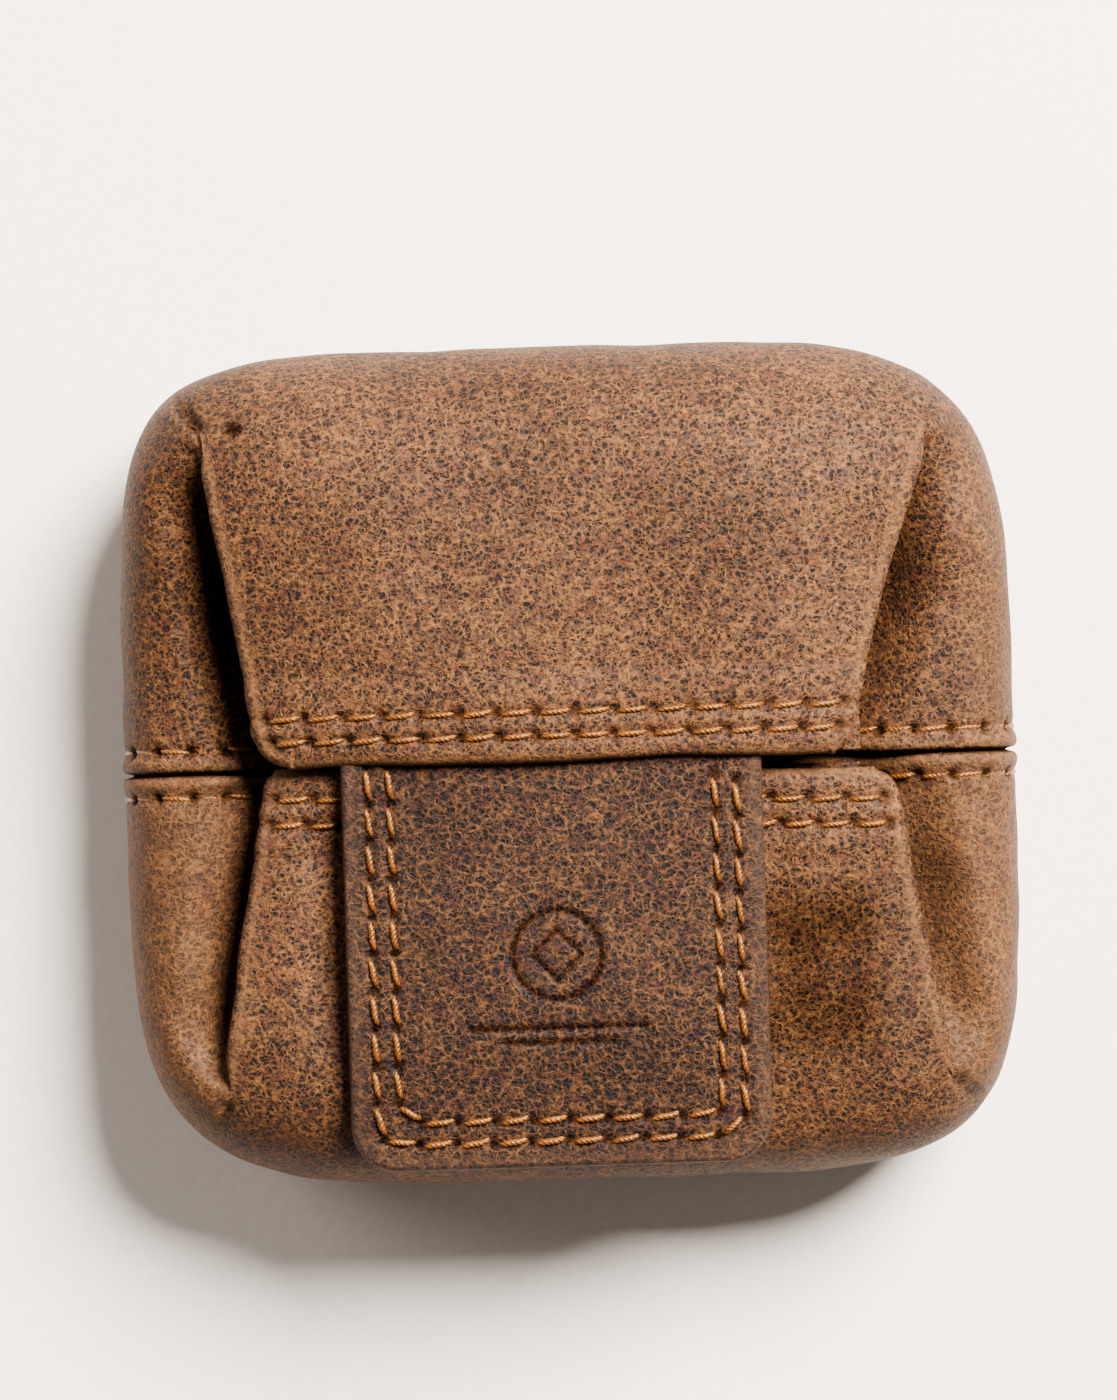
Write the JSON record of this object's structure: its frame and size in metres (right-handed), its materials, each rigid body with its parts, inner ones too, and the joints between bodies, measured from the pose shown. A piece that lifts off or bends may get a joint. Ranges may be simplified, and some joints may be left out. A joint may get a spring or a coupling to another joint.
{
  "type": "coin purse",
  "caption": "Rounded square leather coin purse whose front parts along a line into two flaps with folded side gussets, held shut by a magnetic tab.",
  "frame": {"origin": "middle of the back panel's outer face, which is the face the purse rests on", "axes": "+X along the mouth towards the right side as seen from the front, +Y from the lower lip towards the upper lip, +Z out of the front"},
  "size_m": [0.0892, 0.082, 0.0302],
  "materials": {
    "leather": "waxed mid-brown leather with dark pits and an orange-tan crackle",
    "tab_leather": "darker smooth brown leather with fine orange crackle",
    "thread": "thick waxed orange-brown thread",
    "lining_cloth": "plain woven dark brown cotton",
    "magnet": "nickel-plated disc magnet"
  },
  "bodies": {
    "case": {"back_panel": "leather", "base_seam_thread": "thread", "left_wall_thread_lower": "thread", "left_wall_thread_upper": "thread", "lower_wall": "leather", "pouch_lining": "lining_cloth", "right_wall_thread_lower": "thread", "right_wall_thread_upper": "thread", "upper_wall": "leather"},
    "upper_flap": {"tab_root": "tab_leather", "upper_flap": "leather", "upper_flap_lining": "lining_cloth", "upper_lip_facing": "leather", "upper_lip_thread_inner": "thread", "upper_lip_thread_outer": "thread"},
    "lower_flap": {"catch_magnet": "magnet", "catch_patch": "lining_cloth", "lower_flap": "leather", "lower_flap_lining": "lining_cloth", "lower_lip_facing": "leather", "lower_lip_thread_inner": "thread", "lower_lip_thread_outer": "thread"},
    "left_gusset": {"left_gusset_lining": "lining_cloth", "left_gusset_lower": "leather", "left_gusset_thread_lower": "thread", "left_gusset_thread_upper": "thread", "left_gusset_upper": "leather"},
    "right_gusset": {"right_gusset_lining": "lining_cloth", "right_gusset_lower": "leather", "right_gusset_thread_lower": "thread", "right_gusset_thread_upper": "thread", "right_gusset_upper": "leather"},
    "upper_left_pleat": {"upper_left_pleat": "leather"},
    "upper_right_pleat": {"upper_right_pleat": "leather"},
    "lower_left_pleat": {"lower_left_pleat": "leather"},
    "lower_right_pleat": {"lower_right_pleat": "leather"},
    "tab": {"tab_back": "tab_leather", "tab_front": "tab_leather", "tab_magnet": "magnet", "tab_thread_inner": "thread", "tab_thread_outer": "thread"}
  },
  "joints": [
    {"name": "mouth_open", "type": "hinge", "parent": "case", "child": "upper_flap", "pos_m": [0, 0.0365, 0.024], "axis": [-1, 0, 0], "range_deg": [0, 52]},
    {"name": "lower_flap_open", "type": "hinge", "parent": "case", "child": "lower_flap", "pos_m": [0, -0.0365, 0.024], "axis": [1, 0, 0], "range_deg": [0, 52]},
    {"name": "left_gusset_open", "type": "hinge", "parent": "case", "child": "left_gusset", "pos_m": [-0.0395, 0, 0.024], "axis": [0, -1, 0], "range_deg": [0, 44.78]},
    {"name": "right_gusset_open", "type": "hinge", "parent": "case", "child": "right_gusset", "pos_m": [0.0395, 0, 0.024], "axis": [0, 1, 0], "range_deg": [0, 44.78]},
    {"name": "upper_left_pleat_open", "type": "hinge", "parent": "upper_flap", "child": "upper_left_pleat", "pos_m": [-0.0395, 0.0365, 0.024], "axis": [-0.2642, 0.9645, 0], "range_deg": [0, 58.12]},
    {"name": "upper_right_pleat_open", "type": "hinge", "parent": "upper_flap", "child": "upper_right_pleat", "pos_m": [0.0395, 0.0365, 0.024], "axis": [-0.2642, -0.9645, 0], "range_deg": [0, 58.12]},
    {"name": "lower_left_pleat_open", "type": "hinge", "parent": "lower_flap", "child": "lower_left_pleat", "pos_m": [-0.0395, -0.0365, 0.024], "axis": [0.2642, 0.9645, 0], "range_deg": [0, 58.12]},
    {"name": "lower_right_pleat_open", "type": "hinge", "parent": "lower_flap", "child": "lower_right_pleat", "pos_m": [0.0395, -0.0365, 0.024], "axis": [0.2642, -0.9645, 0], "range_deg": [0, 58.12]},
    {"name": "tab_lift", "type": "hinge", "parent": "upper_flap", "child": "tab", "pos_m": [0, 0.0001, 0.0283], "axis": [-1, 0, 0], "range_deg": [0, 100]}
  ],
  "couplings": [
    {"joint": "lower_flap_open", "follows": "mouth_open", "ratio": 1},
    {"joint": "left_gusset_open", "follows": "mouth_open", "ratio": 0.86115},
    {"joint": "right_gusset_open", "follows": "mouth_open", "ratio": 0.86115},
    {"joint": "upper_left_pleat_open", "follows": "mouth_open", "ratio": 1.1177},
    {"joint": "upper_right_pleat_open", "follows": "mouth_open", "ratio": 1.1177},
    {"joint": "lower_left_pleat_open", "follows": "mouth_open", "ratio": 1.1177},
    {"joint": "lower_right_pleat_open", "follows": "mouth_open", "ratio": 1.1177}
  ]
}
